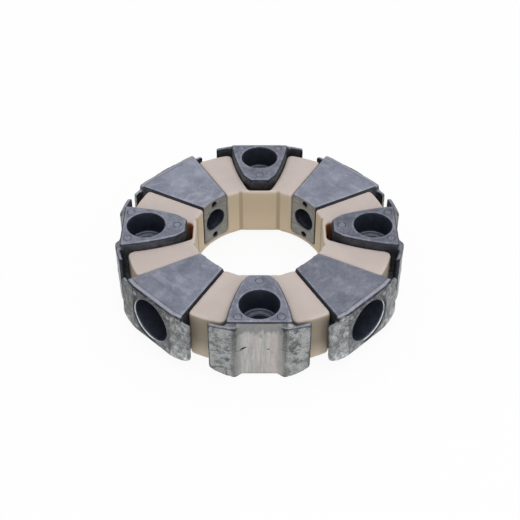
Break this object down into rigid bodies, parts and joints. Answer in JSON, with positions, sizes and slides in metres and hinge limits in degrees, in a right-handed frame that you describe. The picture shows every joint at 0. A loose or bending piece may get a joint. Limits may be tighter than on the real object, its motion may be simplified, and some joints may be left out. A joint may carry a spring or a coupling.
{
  "type": "flexible shaft coupling",
  "caption": "Flexible shaft coupling: a cream elastomer ring gripping cast aluminium inserts, upright bolt holes for a flywheel and level ones for a hub.",
  "frame": {"origin": "centre of the coupling's axis, in the plane of the feet of the axial inserts that bolt to the flywheel", "axes": "+Z along the coupling's axis, away from the flywheel; the axial inserts lie on the X and Y axes and the radial inserts halfway between them"},
  "size_m": [0.2152, 0.2152, 0.052],
  "materials": {
    "elastomer": "moulded satin",
    "cast_aluminium": "as cast, with machined faces"
  },
  "bodies": {
    "root": {"elastomer_ring": "elastomer", "axial_insert_front": "cast_aluminium", "axial_insert_right": "cast_aluminium", "axial_insert_back": "cast_aluminium", "axial_insert_left": "cast_aluminium", "radial_insert_front_right": "cast_aluminium", "radial_insert_back_right": "cast_aluminium", "radial_insert_back_left": "cast_aluminium", "radial_insert_front_left": "cast_aluminium"}
  },
  "joints": []
}
